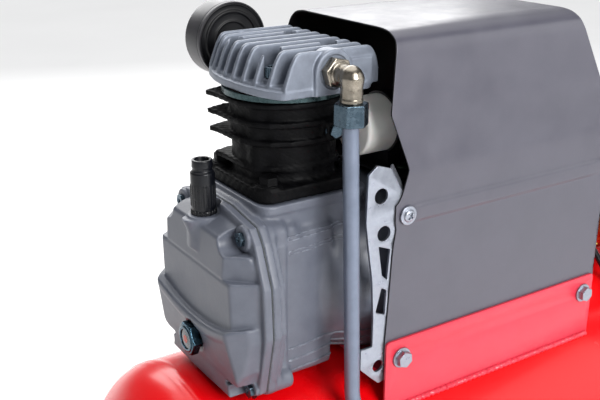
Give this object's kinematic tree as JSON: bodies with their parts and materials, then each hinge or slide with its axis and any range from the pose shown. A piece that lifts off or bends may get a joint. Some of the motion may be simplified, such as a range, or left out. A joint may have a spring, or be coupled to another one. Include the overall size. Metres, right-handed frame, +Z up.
{
  "type": "wheelbarrow air compressor",
  "caption": "Barrow-mounted piston air compressor: direct-drive pump and hooded motor on a horizontal tank, with a front wheel, rear legs and lifting handles.",
  "frame": {"origin": "on the ground, under the middle of the overall length and width", "axes": "+X from the wheel towards the handles, +Y to the air filter's side, +Z up; the crank axis runs along X"},
  "size_m": [1.25, 0.505, 0.6384],
  "materials": {
    "tank_paint": "gloss red powder coat",
    "barrow_paint": "gloss red powder coat on tube",
    "rubber": "matt black",
    "tyre": "moulded tread",
    "rim_paint": "light grey paint",
    "zinc": "blue zinc plate",
    "bright_zinc": "bright zinc plate",
    "cast_aluminium": "grey paint on die-cast aluminium, fine grain",
    "head_aluminium": "grey paint on cast aluminium",
    "black_iron": "rough black paint",
    "black_plastic": "satin black",
    "red_plastic": "gloss red",
    "white_plastic": "white",
    "gasket": "fibre gasket",
    "teal_zinc": "teal passivated plate",
    "machined_aluminium": "machined",
    "steel": "ground",
    "iron": "machined",
    "nickel_brass": "nickel plated",
    "brass": "turned",
    "grey_tube": "grey paint",
    "nylon": "clear nylon",
    "hood_paint": "dark warm grey satin paint",
    "filter_paint": "grey paint"
  },
  "bodies": {
    "chassis": {"tank": "tank_paint", "saddle": "tank_paint", "frame_tubes": "barrow_paint", "frame_brackets": "barrow_paint", "rear_legs": "barrow_paint", "rubber_feet": "rubber", "handle_grips": "rubber", "wheel_axle": "bright_zinc", "drain_valve": "brass", "crankcase": "cast_aluminium", "crankcase_cover": "cast_aluminium", "gaskets": "gasket", "cover_screws": "zinc", "oil_breather": "black_plastic", "sight_glass": "zinc", "cylinder": "black_iron", "cylinder_bolts": "zinc", "valve_plate": "teal_zinc", "cylinder_head": "head_aluminium", "head_bolts": "bright_zinc", "main_bearings": "steel", "filter_base": "black_plastic", "filter_cover": "filter_paint", "outlet_elbow": "nickel_brass", "tube_nuts": "zinc", "delivery_tube": "grey_tube", "check_valve": "brass", "unloader_tube": "nylon", "stator": "iron", "rear_shield": "cast_aluminium", "motor_bolts": "bright_zinc", "capacitor": "white_plastic", "capacitor_tray": "black_plastic", "hood": "hood_paint", "hood_screws": "bright_zinc", "side_brackets": "bright_zinc", "manifold": "brass", "pressure_switch": "black_plastic", "regulator": "machined_aluminium", "gauge_cases": "black_plastic", "quick_coupler": "bright_zinc", "safety_valve": "brass"},
    "crank": {"crank_web": "iron", "shaft": "steel", "rotor": "iron", "fan": "black_plastic"},
    "piston": {"piston": "machined_aluminium", "piston_rings": "iron", "wrist_pin": "steel"},
    "rod": {"connecting_rod": "machined_aluminium", "crank_pin": "steel"},
    "wheel": {"tyre": "tyre", "rim": "rim_paint"},
    "drain": {"drain_lever": "red_plastic"},
    "knob": {"switch_knob": "red_plastic"},
    "regulator_dial": {"regulator_knob": "black_plastic"},
    "tank_pointer": {"tank_needle": "black_plastic"},
    "line_pointer": {"line_needle": "black_plastic"},
    "sleeve": {"coupler_sleeve": "bright_zinc"},
    "relief": {"safety_ring": "steel"}
  },
  "joints": [
    {"name": "crank_spin", "type": "hinge", "parent": "chassis", "child": "crank", "pos_m": [-0.194, 0, 0.431], "axis": [1, 0, 0], "continuous": true},
    {"name": "piston_slide", "type": "slide", "parent": "chassis", "child": "piston", "axis": [0, 0, 1], "range_m": [-0.038, 0]},
    {"name": "rod_swing", "type": "hinge", "parent": "piston", "child": "rod", "pos_m": [-0.194, 0, 0.55], "axis": [1, 0, 0], "range_deg": [-10.9, 10.9]},
    {"name": "wheel_spin", "type": "hinge", "parent": "chassis", "child": "wheel", "pos_m": [-0.495, 0, 0.13], "axis": [0, 1, 0], "continuous": true},
    {"name": "drain_turn", "type": "hinge", "parent": "chassis", "child": "drain", "pos_m": [0.05, -0.013, 0.034], "axis": [0, 1, 0], "range_deg": [0, 90]},
    {"name": "switch_pull", "type": "slide", "parent": "chassis", "child": "knob", "axis": [0, 0, 1], "range_m": [0, 0.006]},
    {"name": "regulator_turn", "type": "hinge", "parent": "chassis", "child": "regulator_dial", "pos_m": [0.18, -0.075, 0.42], "axis": [0, 0, 1], "range_deg": [0, 720]},
    {"name": "tank_needle_turn", "type": "hinge", "parent": "chassis", "child": "tank_pointer", "pos_m": [0.225, 0.018, 0.396], "axis": [-1, 0, 0], "range_deg": [0, 270]},
    {"name": "line_needle_turn", "type": "hinge", "parent": "chassis", "child": "line_pointer", "pos_m": [0.225, -0.075, 0.396], "axis": [-1, 0, 0], "range_deg": [0, 270]},
    {"name": "coupler_slide", "type": "slide", "parent": "chassis", "child": "sleeve", "axis": [0, 1, 0], "range_m": [0, 0.004], "stiffness_N_per_m": 400},
    {"name": "relief_pull", "type": "slide", "parent": "chassis", "child": "relief", "axis": [0, 1, 0], "range_m": [0, 0.003], "stiffness_N_per_m": 600}
  ]
}
